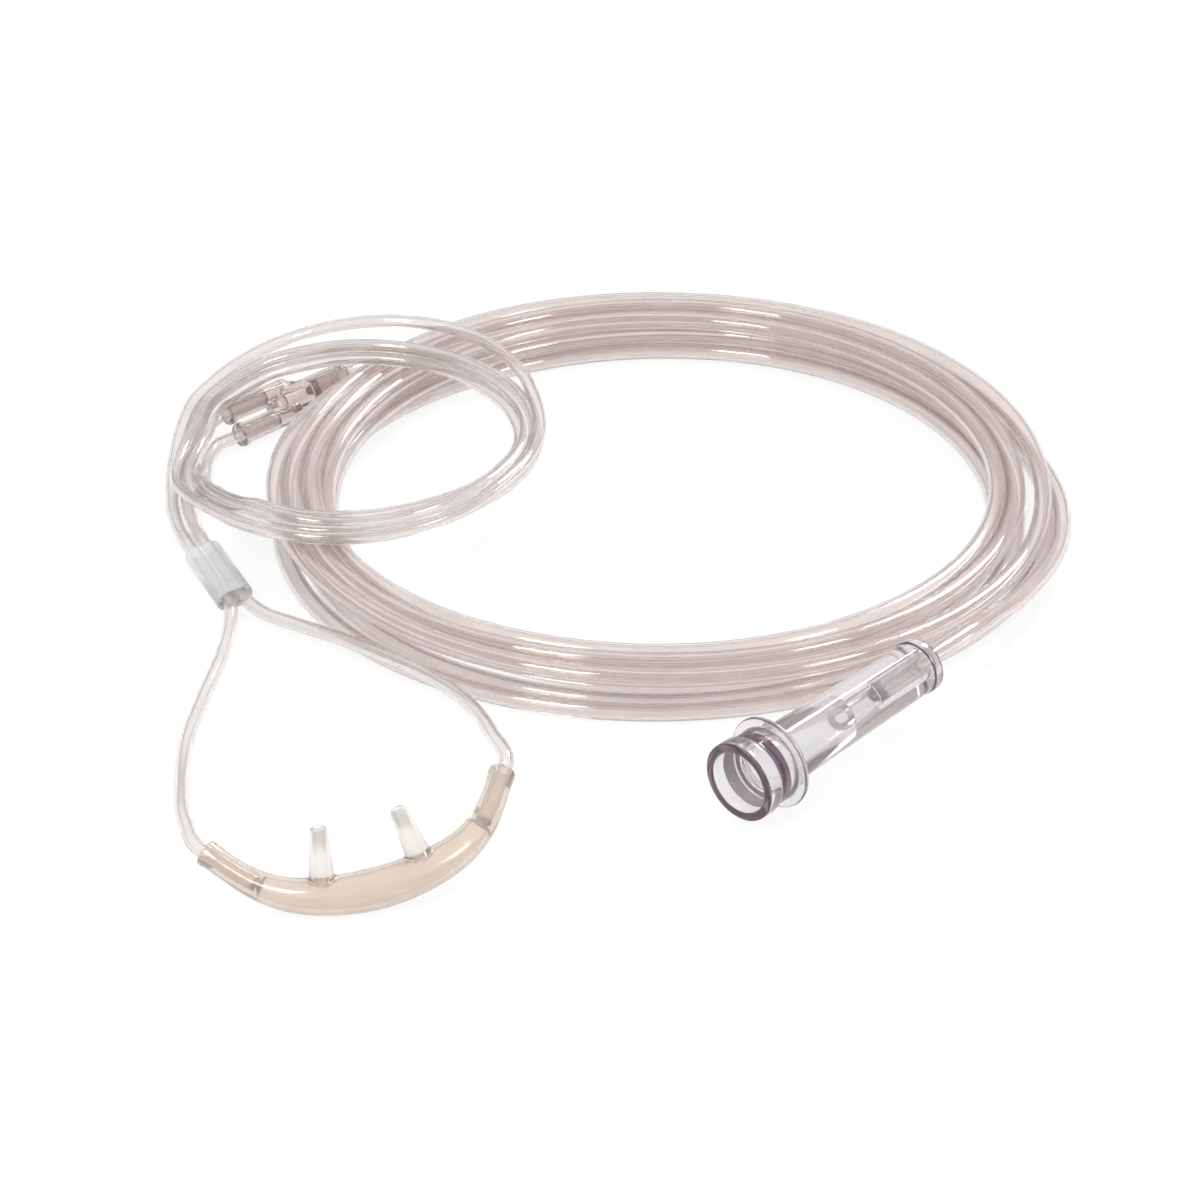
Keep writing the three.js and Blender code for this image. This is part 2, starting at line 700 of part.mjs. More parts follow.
// The origin is the floor point under the middle of the facepiece
const cannula = new THREE.Group();
for (const [name, geometry, finish] of pieces) {
  const mesh = new THREE.Mesh(geometry, new THREE.MeshStandardMaterial(finish));
  mesh.name = name;
  cannula.add(mesh);
}
const faceBox = new THREE.Box3().setFromObject(cannula.getObjectByName('nasal_facepiece'));
const faceFoot = faceBox.getCenter(new THREE.Vector3());
cannula.position.set(-faceFoot.x, -faceFoot.y, -faceBox.min.z);

export default cannula;
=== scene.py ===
import bmesh
import bpy
import math
import numpy as np
from mathutils import Matrix, Vector


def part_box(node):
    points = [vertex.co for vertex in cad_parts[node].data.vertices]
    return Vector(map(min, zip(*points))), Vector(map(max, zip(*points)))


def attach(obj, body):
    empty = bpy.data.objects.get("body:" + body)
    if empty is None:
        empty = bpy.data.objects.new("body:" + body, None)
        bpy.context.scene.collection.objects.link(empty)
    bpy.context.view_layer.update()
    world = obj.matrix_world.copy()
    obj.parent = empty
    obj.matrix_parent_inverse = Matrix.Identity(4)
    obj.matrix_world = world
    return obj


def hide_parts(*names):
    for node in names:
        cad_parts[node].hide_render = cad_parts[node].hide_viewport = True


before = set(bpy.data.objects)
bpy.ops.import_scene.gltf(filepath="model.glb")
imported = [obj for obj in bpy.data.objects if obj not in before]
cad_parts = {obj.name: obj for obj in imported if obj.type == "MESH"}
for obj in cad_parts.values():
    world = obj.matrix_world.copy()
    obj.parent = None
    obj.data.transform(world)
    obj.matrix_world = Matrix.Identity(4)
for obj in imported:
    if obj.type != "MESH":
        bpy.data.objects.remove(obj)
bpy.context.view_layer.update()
mm = 0.001

# The supply coil's middle ties the table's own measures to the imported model
supplyCoil = {
    "centre": (14.9, 39.3),
    "outer": 94.5,
    "width": 16.5,
    "height": 13.5,
    "startAngle": 114.0,
    "endAngle": -26.0,
    "fullTurns": 7,
    "samplesPerTurn": 120,
    "slots": [(2, 0), (1, 0), (0, 0), (0, 1), (0, 2), (1, 2), (2, 2), (2, 1), (2, 1)],
    "wander": 1.5,
    # turn, angle, spread and reach of the places where a strand stands off its neighbours
    "strays": [
        (0, 8.0, 24.0, 0.6), (1, 8.0, 24.0, -2.4), (5, 8.0, 24.0, -2.4), (6, 8.0, 24.0, -2.3),
        (7, 8.0, 18.0, -2.3), (2, 205.0, 30.0, -0.9), (0, 222.0, 24.0, 1.6), (5, 262.0, 30.0, -1.5),
    ],
}
coilLow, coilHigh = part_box("supply_coil")
tableShift = Vector((
    (coilLow.x + coilHigh.x) / 2 - supplyCoil["centre"][0] * mm,
    (coilLow.y + coilHigh.y) / 2 - supplyCoil["centre"][1] * mm,
    0.0,
))


def onTable(point):
    return Vector(point) * mm + tableShift


# Camera at the photograph's place: a long lens, 31 degrees above the table
cameraSpot = {"elevation": 31.0, "distance": 1026.5, "lens": 132.0, "sensor": 36.0}


def makeCamera():
    camera = bpy.data.objects.new("camera", bpy.data.cameras.new("camera"))
    bpy.context.scene.collection.objects.link(camera)
    camera.data.lens = cameraSpot["lens"]
    camera.data.sensor_width = cameraSpot["sensor"]
    camera.data.clip_start = 0.05
    camera.data.clip_end = 20.0
    lift = math.radians(cameraSpot["elevation"])
    away = cameraSpot["distance"]
    camera.location = onTable((0, -away * math.cos(lift), away * math.sin(lift)))
    camera.rotation_euler = (math.pi / 2 - lift, 0, 0)
    bpy.context.scene.camera = camera
    print("camera placed")


makeCamera()

# Lines in millimetres on the table


def evenly(points, step):
    line = np.array([tuple(p) for p in points], float)
    along = np.concatenate([[0], np.cumsum(np.linalg.norm(np.diff(line, axis=0), axis=1))])
    at = np.linspace(0, along[-1], max(2, round(along[-1] / step) + 1))
    return np.stack([np.interp(at, along, line[:, k]) for k in range(3)], axis=1)


def smoothLine(points, step):
    # centripetal curve through the points, sampled evenly
    given = [Vector(p) for p in points]
    ends = [given[0] * 2 - given[1]] + given + [given[-1] * 2 - given[-2]]
    dense = []
    pieces = 12
    for a, b, c, d in zip(ends, ends[1:], ends[2:], ends[3:]):
        t1 = (b - a).length ** 0.5
        t2 = t1 + (c - b).length ** 0.5
        t3 = t2 + (d - c).length ** 0.5
        for k in range(pieces):
            t = t1 + (t2 - t1) * k / pieces
            ab = a.lerp(b, t / t1)
            bc = b.lerp(c, (t - t1) / (t2 - t1))
            cd = c.lerp(d, (t - t2) / (t3 - t2))
            abc = ab.lerp(bc, t / t2)
            bcd = bc.lerp(cd, (t - t1) / (t3 - t1))
            dense.append(abc.lerp(bcd, (t - t1) / (t2 - t1)))
    dense.append(given[-1])
    return evenly(dense, step)


def eased(value, low, high):
    share = min(1.0, max(0.0, (value - low) / (high - low)))
    return share * share * (3 - 2 * share)


def pushApart(paths, perTurn, gap):
    # strands side by side at one angle end up a diameter apart
    for ia, a in enumerate(paths):
        for ib in range(ia, len(paths)):
            b = paths[ib]
            turns = max(len(a), len(b)) // perTurn + 1
            for k in range(1 if ib == ia else -turns, turns + 1):
                low = max(0, -k * perTurn)
                high = min(len(a), len(b) - k * perTurn)
                if high <= low:
                    continue
                other = slice(low + k * perTurn, high + k * perTurn)
                apart = b[other] - a[low:high]
                far = np.maximum(np.linalg.norm(apart, axis=1), 1e-6)
                push = (np.maximum(0, gap - far) / far * 0.5)[:, None] * apart
                a[low:high] -= push
                b[other] += push


def settled(targets, perTurn, gap, lows, highs, rounds=320, pull=0.06, stiffness=0.22):
    # each strand keeps near its target, clear of the others and inside its bounds
    paths = [t.copy() for t in targets]
    for turn in range(rounds):
        last = turn > rounds * 0.8
        for path, target, low, high in zip(paths, targets, lows, highs):
            path += (pull * (0.2 if last else 1)) * (target - path)
            path[1:-1] += stiffness * (path[:-2] + path[2:] - 2 * path[1:-1])
            np.clip(path, low, high, out=path)
        pushApart(paths, perTurn, gap)
    for path, low, high in zip(paths, lows, highs):
        np.clip(path, low, high, out=path)
    return paths


# Tubes: outside diameter, lumen radius and step along the line, in millimetres
supplyTube = {"diameter": 4.4, "lumen": 1.3, "lumenSides": 20, "sides": 26, "step": 3.0}
smallTube = {"diameter": 3.2, "lumen": 0.95, "lumenSides": 16, "sides": 24, "step": 1.8}
strandGap = 1.02  # touching strands lie this many diameters apart


def woundSupplyCoil():
    c = supplyCoil
    per = c["samplesPerTurn"]
    sweep = c["startAngle"] - c["endAngle"] + 360 * c["fullTurns"]
    count = round(sweep / 360 * per)
    radius = supplyTube["diameter"] / 2
    inner = c["outer"] - c["width"] + radius
    pitchAcross = (c["width"] - 2 * radius) / 2
    pitchUp = (c["height"] - 2 * radius) / 2
    target = np.zeros((count, 2))
    low = np.zeros((count, 2))
    high = np.zeros((count, 2))
    for i in range(count):
        turn = i / per
        whole = int(turn)
        shift = 0.62 + 0.22 * math.sin(2.3 * whole + 0.7)
        step = eased(turn - whole, shift, shift + 0.36)
        now, then = c["slots"][whole], c["slots"][whole + 1]
        column = now[0] + (then[0] - now[0]) * step
        row = now[1] + (then[1] - now[1]) * step
        angle = math.radians(c["startAngle"] - 360 * turn)
        sway = math.sin(angle + 2.4 * turn) + 0.6 * math.sin(2.3 * angle + 1.7 * turn)
        lift = math.sin(1.6 * angle + 3.1 * turn + 1)
        target[i] = (
            inner + column * pitchAcross + c["wander"] * sway,
            radius + row * pitchUp + 0.7 * c["wander"] * lift,
        )
        slack = 0.0
        for strayTurn, strayAngle, spread, reach in c["strays"]:
            at = math.degrees(angle) % 360
            off = (at - strayAngle + 180) % 360 - 180
            if whole == strayTurn:
                amount = reach * math.exp(-((off / spread) ** 2))
                target[i, 0] += amount
                slack = max(slack, abs(amount))
        low[i] = (inner - min(slack, 1.0), radius + 0.05)
        high[i] = (c["outer"] - radius + 0.3 + slack, c["height"] - radius + 0.3)
    beside = c["outer"] + radius + 0.5
    for i in range(count):
        fromStart = 1 - eased(i, 4, 26)
        fromEnd = 1 - eased(count - 1 - i, 4, 16)
        for near, height in ((fromStart, 4.0), (fromEnd, 8.0)):
            target[i] += near * (np.array([beside, height]) - target[i])
            high[i, 0] = max(high[i, 0], c["outer"] - radius + near * (beside - c["outer"] + radius))
    target[0] = low[0] = high[0] = (beside, 4.0)
    target[-1] = low[-1] = high[-1] = (beside, 8.0)
    path = settled([target], per, supplyTube["diameter"] * strandGap, [low], [high])[0]
    points = []
    for i, (reach, height) in enumerate(path):
        angle = math.radians(c["startAngle"] - 360 * i / per)
        points.append((
            c["centre"][0] + reach * math.cos(angle),
            c["centre"][1] + reach * math.sin(angle),
            height,
        ))
    return points


def besideSupplyCoil(angle, gap, height):
    reach = supplyCoil["outer"] + supplyTube["diameter"] / 2 + gap
    turn = math.radians(angle)
    return (
        supplyCoil["centre"][0] + reach * math.cos(turn),
        supplyCoil["centre"][1] + reach * math.sin(turn),
        height,
    )


# Y connector: x runs from the small sockets to the stem end
yConnector = {
    "barrelDiameter": 5.4,
    "barrelLength": 18.0,
    "stemDiameter": 7.0,
    "stemLength": 18.0,
    "smallSocketDepth": 12.0,
    "stemSocketDepth": 11.0,
    "passage": 2.2,
    "rim": 0.35,
    "rimLength": 1.6,
    "rounding": 0.35,
    "webThickness": 3.4,
    "webBack": 6,
    "webAhead": 4,
    "roll": 41.0,
    "stemEnd": (-65.2, 100.9),
    "way": (0.71, 0.7),
    "spacing": 6.4,
    "fit": 0.12,
}


def yFrame():
    y = yConnector
    way = Vector((y["way"][0], y["way"][1], 0)).normalized()
    roll = math.radians(y["roll"])
    across = Vector((way.y, -way.x, 0)) * math.cos(roll) - Vector((0, 0, 1)) * math.sin(roll)
    height = y["barrelDiameter"] / 2 + y["rim"] + 0.05 + y["spacing"] / 2 * math.sin(roll)
    length = y["barrelLength"] + y["stemLength"]
    start = Vector((y["stemEnd"][0], y["stemEnd"][1], height)) - way * length
    return start, way, across, length


def yPoint(along, side=0):
    start, way, across, _ = yFrame()
    return start + way * along + across * (side * yConnector["spacing"] / 2)


# Supply connector: x runs from the rear to the front face
supplyConnector = {
    "length": 61.8,
    "mouth": 14.4,
    "mouthDepth": 7.3,
    "mouthRing": 18.4,
    "mouthRingLength": 4.0,
    "neck": 17.2,
    "flange": 21.4,
    "flangeSetback": 11.2,
    "flangeThickness": 1.2,
    "bodyFront": 13.9,
    "bodyRear": 12.2,
    "rearRim": 12.8,
    "rearRimLength": 2.4,
    "coneMouth": 11.4,
    "coneBottom": 7.4,
    "coneDepth": 33.8,
    "neckBand": 7.8,
    "port": 3.2,
    "socketDepth": 18.0,
    "socketWall": 0.3,
    "rounding": 0.55,
    "rear": (71.6, -48.2, 12.4),
    "azimuth": 227.0,
    "fit": 0.12,
}


def connectorFrame():
    c = supplyConnector
    reach = c["length"] - c["flangeSetback"]
    dip = math.asin((c["rear"][2] - c["flange"] / 2 - 0.05) / reach)
    turn = math.radians(c["azimuth"])
    way = Vector((math.cos(turn) * math.cos(dip), math.sin(turn) * math.cos(dip), -math.sin(dip)))
    return Vector(c["rear"]), way


def connectorPoint(fromRear):
    rear, way = connectorFrame()
    return rear + way * fromRear


# Facepiece: a soft bar bent in one plane, with its prongs
facepiece = {
    "halfChord": 32.6,
    "sagitta": 19.3,
    "belly": 9.0,
    "neck": 5.4,
    "end": 6.1,
    "flare": 5.0,
    "wall": 1.25,
    "swellPower": 1.9,
    "socketDepth": 14.0,
    "passage": 2.4,
    "fit": 0.06,
    "voxel": 0.26,
    "prongSpacing": 22.4,
    "prongShift": -1.2,
    "prongLength": 11.0,
    "prongBase": 5.6,
    "prongTip": 3.7,
    "prongBore": 2.2,
    "lean": 38.0,
    "toeIn": 10.0,
    "sway": 2.0,
    "middle": (-51.6, -107.8, 12.69),
    "chordWay": (0.9486, 0.2937, 0.118),
    "inwardWay": (-0.3161, 0.8607, 0.399),
    "halfShape": [(0, 0), (0.276, 0.045), (0.552, 0.19), (0.742, 0.415), (0.877, 0.69), (1, 1)],
}
faceChord = Vector(facepiece["chordWay"]).normalized()
faceInward = Vector(facepiece["inwardWay"]).normalized()
faceNormal = faceChord.cross(faceInward).normalized()


def faceLine(step):
    half = facepiece["halfShape"]
    shape = [(-a, b) for a, b in reversed(half[1:])] + half
    points = [
        Vector(facepiece["middle"])
        + faceChord * (across * facepiece["halfChord"])
        + faceInward * ((rise - 1) * facepiece["sagitta"])
        for across, rise in shape
    ]
    return smoothLine(points, step)


faceFine = faceLine(0.25)
faceSpacing = float(np.linalg.norm(faceFine[1] - faceFine[0]))
faceLength = faceSpacing * (len(faceFine) - 1)


def facePoint(along):
    at = along / faceSpacing
    i = int(min(len(faceFine) - 2, max(0, math.floor(at))))
    return Vector(faceFine[i]) + Vector(faceFine[i + 1] - faceFine[i]) * (at - i)


# Slide sleeve on the straight stretch of the pair
slide = {
    "length": 22.0,
    "wall": 0.9,
    "roll": 10.0,
    "travel": 6.0,
    "middle": (-89.2, 6.0),
    "way": (-0.4, 0.9165),
    "fit": 0.3,
}


def slideFrame():
    s = slide
    way = Vector((s["way"][0], s["way"][1], 0)).normalized()
    roll = math.radians(s["roll"])
    across = Vector((way.y, -way.x, 0)) * math.cos(roll) + Vector((0, 0, 1)) * math.sin(roll)
    boreHalf = smallTube["diameter"] / 2 + s["fit"]
    flatHalf = (smallTube["diameter"] + s["fit"]) / 2
    height = boreHalf + s["wall"] + flatHalf * math.sin(roll) + 0.05
    return Vector((s["middle"][0], s["middle"][1], height)), way, across, boreHalf, flatHalf


def pairPoint(side, along):
    centre, way, across, _, flatHalf = slideFrame()
    return centre + way * along + across * (side * flatHalf)


# Small coil: angle, middle radius, underside, width and height of the bundle
smallCoil = {
    "centre": (-60.5, 51.0),
    "stations": [
        (0, 43.6, 13.2, 7.4, 6.8), (35, 43.9, 13.8, 9.4, 6.4), (65, 44.4, 13.9, 9.8, 6.0),
        (92, 44.0, 13.9, 9.8, 6.0), (115, 43.8, 13.0, 9.6, 6.0), (146, 43.0, 10.9, 9.6, 6.0),
        (161, 41.2, 5.6, 10.0, 6.0), (173, 39.6, 3.7, 10.4, 6.0), (190, 38.6, 3.7, 10.4, 6.0),
        (206, 38.2, 6.6, 10.4, 5.6), (222, 39.3, 9.4, 10.6, 5.0), (240, 42.6, 13.4, 11.6, 4.2),
        (256, 44.6, 13.9, 13.0, 3.8), (275, 44.6, 13.9, 13.2, 3.8), (300, 43.4, 13.8, 12.0, 4.6),
        (330, 42.8, 13.4, 9.0, 6.0),
    ],
    "samplesPerTurn": 120,
    "start": 176.0,
    "end": 904.0,
    "loop": [
        (-85.0, 95.6, 15.0), (-78.4, 101.6, 15.8), (-69.6, 106.4, 16.6), (-60.0, 108.8, 17.2),
        (-50.4, 108.8, 17.6), (-40.6, 106.0, 18.0), (-31.2, 99.0, 18.0), (-24.8, 90.4, 18.0),
        (-21.2, 83.6, 18.0),
    ],
}


def smallCoilAt(angle):
    rows = smallCoil["stations"]
    turn = angle % 360
    last = max((i for i, row in enumerate(rows) if row[0] <= turn), default=len(rows) - 1)
    before, after = rows[last], rows[(last + 1) % len(rows)]
    share = eased((turn - before[0]) % 360, 0, (after[0] - before[0]) % 360)
    return [x + (y - x) * share for x, y in zip(before[1:], after[1:])]


def woundSmallCoil():
    # returns the left and the right tube's points round the coil
    c = smallCoil
    per = c["samplesPerTurn"]
    count = round((c["end"] - c["start"]) / 360 * per) + 1
    radius = smallTube["diameter"] / 2
    loop = [
        (math.degrees(math.atan2(y - c["centre"][1], x - c["centre"][0])),
         math.hypot(x - c["centre"][0], y - c["centre"][1]), z)
        for x, y, z in reversed(c["loop"])
    ]
    loopAngles = [row[0] for row in loop]
    targets, lows, highs = [], [], []
    for left in (True, False):
        target = np.zeros((count, 2))
        low = np.zeros((count, 2))
        high = np.zeros((count, 2))
        for i in range(count):
            angle = c["start"] + i * 360 / per
            middle, under, width, height = smallCoilAt(angle)
            half = width / 2 - radius
            passed = eased(angle, 500, 580)
            flat = eased(width, 8.5, 12.5)
            slot = 2 * passed + (1 if left else 0)
            spread = -half + slot * 2 * half / 3
            stacked = -half + 2 * half * passed + (0.6 if left else -0.6)
            across = flat * spread + (1 - flat) * stacked
            rise = (height - 2 * radius) * ((0.5 if left else 0.1) * (1 - flat) + 0.3 * flat)
            sway = 0.5 * math.sin(math.radians(angle) * 1.3 + (0 if left else 2) + passed * 3)
            target[i] = (middle + across + sway, under + radius + rise)
            low[i] = (middle - half - 0.3, under + radius - 0.1)
            high[i] = (middle + half + 0.3, under + height - radius + 0.3)
            coming = 1 - eased(angle, 180, 204)
            going = eased(angle, c["end"] - 28, c["end"] - 2)
            for near, spot in (
                (coming, (38.8, 3.6) if left else (35.8, 1.7)),
                (going, (43.3 if left else 39.9, 1.7)),
            ):
                target[i] += near * (np.array(spot) - target[i])
                if near > 0:
                    low[i] = np.minimum(low[i], target[i] - 0.2)
                    high[i] = np.maximum(high[i], target[i] + 0.2)
            turn = angle % 360
            if left and 540 < angle and 20 < turn < 138:
                away = eased(turn, 20, 46) * (1 - eased(turn, 112, 138))
                spot = (
                    np.interp(turn, loopAngles, [row[1] for row in loop]),
                    np.interp(turn, loopAngles, [row[2] for row in loop]),
                )
                target[i] += away * (np.array(spot) - target[i])
                low[i] = np.minimum(low[i], target[i] - 0.4)
                high[i] = np.maximum(high[i], target[i] + 0.4)
        targets.append(target)
        lows.append(low)
        highs.append(high)
    paths = settled(targets, per, smallTube["diameter"] * strandGap, lows, highs)
    found = []
    for path in paths:
        points = []
        for i, (reach, height) in enumerate(path):
            angle = math.radians(c["start"] + i * 360 / per)
            points.append((
                c["centre"][0] + reach * math.cos(angle),
                c["centre"][1] + reach * math.sin(angle),
                height,
            ))
        found.append(points)
    return found


def tubeLines():
    depth = supplyConnector["socketDepth"]
    stemDepth = yConnector["stemSocketDepth"]
    length = yFrame()[3]
    supply = [
        yPoint(length - stemDepth), yPoint(length - stemDepth / 2), yPoint(length + 2),
        besideSupplyCoil(136, 3.2, 4.4), besideSupplyCoil(130, 1.4, 4.0), besideSupplyCoil(122, 0.5, 4.0),
    ]
    supply += woundSupplyCoil()[::4]
    supply += [
        besideSupplyCoil(-33, 0.5, 9.0), besideSupplyCoil(-40, 1.2, 10.4), besideSupplyCoil(-46, 3.4, 11.8),
        connectorPoint(-3), connectorPoint(depth / 2), connectorPoint(depth),
    ]
    leftCoil, rightCoil = woundSmallCoil()
    inside = yConnector["smallSocketDepth"]
    socket = facepiece["socketDepth"]
    straight = slide["length"] / 2 + slide["travel"]
    left = [
        yPoint(inside, -1), yPoint(inside / 2, -1), yPoint(-1.5, -1),
        (-98.4, 71.5, 4.6), (-99.5, 65.5, 3.2), (-99.6, 59.5, 3.0),
    ]
    left += leftCoil[::3]
    left += [
        (-102.7, 39.0, 1.7), (-100.7, 30.5, 1.7), pairPoint(-1, straight + 1),
        pairPoint(-1, slide["length"] / 4), pairPoint(-1, -slide["length"] / 4),
        pairPoint(-1, -slide["length"] / 2 - 1.5),
        (-85.2, -13.0, 1.8), (-86.2, -27.0, 1.65), (-89.0, -45.0, 1.65), (-91.0, -62.0, 2.3),
        (-90.8, -79.5, 4.5), (-89.8, -92.7, 7.2), (-88.8, -101.8, 8.8), (-87.2, -108.9, 9.6),
        facePoint(-3), facePoint(socket / 3), facePoint(socket * 2 / 3), facePoint(socket),
    ]
    right = [
        yPoint(inside, 1), yPoint(inside / 2, 1), yPoint(-1.5, 1),
        (-94.3, 70.6, 2.3), (-96.0, 64.8, 1.8), (-96.4, 59.4, 1.7),
    ]
    right += rightCoil[::3]
    right += [
        (-99.2, 39.8, 1.7), (-97.3, 32.3, 1.75), pairPoint(1, straight + 1),
        pairPoint(1, slide["length"] / 4), pairPoint(1, -slide["length"] / 4),
        pairPoint(1, -slide["length"] / 2 - 1.0),
        (-77.6, -10.6, 3.0), (-69.2, -17.0, 3.6), (-60.2, -24.7, 5.1), (-50.7, -35.1, 7.4),
        (-40.9, -47.0, 10.2), (-33.0, -59.4, 13.0), (-27.0, -72.7, 15.6), (-23.2, -84.8, 17.4),
        facePoint(faceLength + 3), facePoint(faceLength - socket / 3),
        facePoint(faceLength - socket * 2 / 3), facePoint(faceLength - socket),
    ]
    return {
        "supply": smoothLine(supply, supplyTube["step"]),
        "left": smoothLine(left, smallTube["step"]),
        "right": smoothLine(right, smallTube["step"]),
    }


def sweptMesh(line, radius, sides, flipped=False):
    # one open tube along the line, made by the curve tool; the line is in metres
    data = bpy.data.curves.new("sweep", "CURVE")
    data.dimensions = "3D"
    data.twist_mode = "MINIMUM"
    spline = data.splines.new("POLY")
    spline.points.add(len(line) - 1)
    for point, place in zip(spline.points, line):
        point.co = (*place, 1)
    section = bpy.data.curves.new("section", "CURVE")
    section.dimensions = "2D"
    outline = section.splines.new("POLY")
    outline.points.add(sides - 1)
    outline.use_cyclic_u = True
    for i, point in enumerate(outline.points):
        angle = 2 * math.pi * i / sides
        point.co = (radius * math.cos(angle), radius * math.sin(angle), 0, 1)
    sectionObject = bpy.data.objects.new("section", section)
    data.bevel_mode = "OBJECT"
    data.bevel_object = sectionObject
    holder = bpy.data.objects.new("sweep", data)
    bpy.context.scene.collection.objects.link(sectionObject)
    bpy.context.scene.collection.objects.link(holder)
    bpy.context.view_layer.update()
    evaluated = holder.evaluated_get(bpy.context.evaluated_depsgraph_get())
    mesh = bpy.data.meshes.new_from_object(evaluated)
    bpy.data.objects.remove(holder)
    bpy.data.objects.remove(sectionObject)
    shape = bmesh.new()
    shape.from_mesh(mesh)
    bmesh.ops.recalc_face_normals(shape, faces=shape.faces)
    if flipped:
        bmesh.ops.reverse_faces(shape, faces=shape.faces)
    shape.to_mesh(mesh)
    shape.free()
    return mesh


def hollowTube(name, line, tube):
    # outer wall and lumen joined at both ends by flat rings
    metres = [onTable(p) for p in line]
    outer = sweptMesh(metres, tube["diameter"] / 2 * mm, tube["sides"])
    lumen = sweptMesh(metres, tube["lumen"] * mm, tube["lumenSides"], flipped=True)
    shape = bmesh.new()
    shape.from_mesh(outer)
    shape.from_mesh(lumen)
    rims = [e for e in shape.edges if e.is_boundary]
    for end in (metres[0], metres[-1]):
        near = [e for e in rims if (e.verts[0].co - end).length < tube["diameter"] * mm]
        bmesh.ops.bridge_loops(shape, edges=near)
    mesh = bpy.data.meshes.new(name)
    shape.to_mesh(mesh)
    shape.free()
    mesh.shade_smooth()
    piece = bpy.data.objects.new(name, mesh)
    bpy.context.scene.collection.objects.link(piece)
    print(name, "length", round(sum((b - a).length for a, b in zip(metres, metres[1:])), 4),
          "faces", len(mesh.polygons))
    return piece, metres


lines = tubeLines()
supplyPiece, supplyPath = hollowTube("supply_oxygen_tube", lines["supply"], supplyTube)
leftPiece, leftPath = hollowTube("left_small_tube", lines["left"], smallTube)
rightPiece, rightPath = hollowTube("right_small_tube", lines["right"], smallTube)


# Hard clear pieces are spun from their profiles


def spunSolid(profile, steps=72):
    # profile lists (along, radius) in millimetres, a closed ring or from axis to axis
    shape = bmesh.new()
    corners = [shape.verts.new((along * mm, radius * mm, 0)) for along, radius in profile]
    edges = [shape.edges.new((a, b)) for a, b in zip(corners, corners[1:])]
    if profile[0][1] > 0:
        edges.append(shape.edges.new((corners[-1], corners[0])))
    bmesh.ops.spin(
        shape, geom=corners + edges, cent=(0, 0, 0), axis=(1, 0, 0),
        angle=2 * math.pi, steps=steps, use_merge=True,
    )
    bmesh.ops.remove_doubles(shape, verts=shape.verts, dist=1e-7)
    bmesh.ops.recalc_face_normals(shape, faces=shape.faces)
    return shape


def rounded(profile, radius, steps=3):
    # the profile with its corners rounded by a small arc
    count = len(profile)
    closed = profile[0][1] > 0
    out = []
    for i, (along, reach) in enumerate(profile):
        if not closed and i in (0, count - 1):
            out.append((along, reach))
            continue
        here = Vector((along, reach))
        before = Vector(profile[i - 1])
        after = Vector(profile[(i + 1) % count])
        back = min(radius, (before - here).length * 0.45)
        ahead = min(radius, (after - here).length * 0.45)
        a = here + (before - here).normalized() * back
        b = here + (after - here).normalized() * ahead
        for k in range(steps + 1):
            t = k / steps
            point = a * (1 - t) ** 2 + here * (2 * t * (1 - t)) + b * t ** 2
            out.append((point.x, point.y))
    return out


def objectFrom(shape, name, matrix=None):
    if matrix is not None:
        bmesh.ops.transform(shape, matrix=matrix, verts=shape.verts)
    mesh = bpy.data.meshes.new(name)
    shape.to_mesh(mesh)
    shape.free()
    piece = bpy.data.objects.new(name, mesh)
    bpy.context.scene.collection.objects.link(piece)
    return piece


def basis(xAxis, yAxis, zAxis, origin):
    matrix = Matrix((xAxis, yAxis, zAxis)).transposed().to_4x4()
    matrix.translation = onTable(origin)
    return matrix


def smoothByAngle(piece, degrees=35):
    piece.data.shade_smooth()
    piece.data.set_sharp_from_angle(angle=math.radians(degrees))


def applyModifiers(piece):
    evaluated = piece.evaluated_get(bpy.context.evaluated_depsgraph_get())
    mesh = bpy.data.meshes.new_from_object(evaluated)
    piece.modifiers.clear()
    old = piece.data
    piece.data = mesh
    bpy.data.meshes.remove(old)


def combined(base, others, operation):
    for other in others:
        cut = base.modifiers.new("cut", "BOOLEAN")
        cut.operation = operation
        cut.solver = "EXACT"
        cut.object = other
        bpy.context.view_layer.update()
        applyModifiers(base)
        bpy.data.objects.remove(other)
    return base


def makeConnector():
    c = supplyConnector
    front = c["length"]
    flangeBack = front - c["flangeSetback"]
    flangeFront = flangeBack + c["flangeThickness"]
    ringBack = front - c["mouthRingLength"]
    shelf = front - c["mouthDepth"]
    coneEnd = front - c["coneDepth"]
    socket = supplyTube["diameter"] / 2 + c["fit"]
    socketEnd = c["socketDepth"] + c["socketWall"]
    # once round the wall: rear rim, body, flange, neck, mouth ring, then back along the inside
    profile = [
        (0, socket), (0, c["rearRim"] / 2), (c["rearRimLength"], c["rearRim"] / 2),
        (c["rearRimLength"] + 0.6, c["bodyRear"] / 2), (flangeBack - 1.5, c["bodyFront"] / 2),
        (flangeBack, c["bodyFront"] / 2 + 0.5), (flangeBack, c["flange"] / 2),
        (flangeFront, c["flange"] / 2), (flangeFront + 0.3, c["neck"] / 2),
        (front - c["neckBand"], c["neck"] / 2), (ringBack - 0.8, c["neck"] / 2),
        (ringBack, c["mouthRing"] / 2), (front, c["mouthRing"] / 2), (front, c["mouth"] / 2),
        (shelf, c["mouth"] / 2), (shelf, c["coneMouth"] / 2), (coneEnd, c["coneBottom"] / 2),
        (coneEnd, c["port"] / 2), (socketEnd, c["port"] / 2), (socketEnd, socket),
    ]
    rear, way = connectorFrame()
    side = way.cross(Vector((0, 0, 1))).normalized()
    matrix = basis(way, side, way.cross(side), rear)
    piece = objectFrom(spunSolid(rounded(profile, c["rounding"]), 96), "flared_supply_connector", matrix)
    smoothByAngle(piece)
    return piece


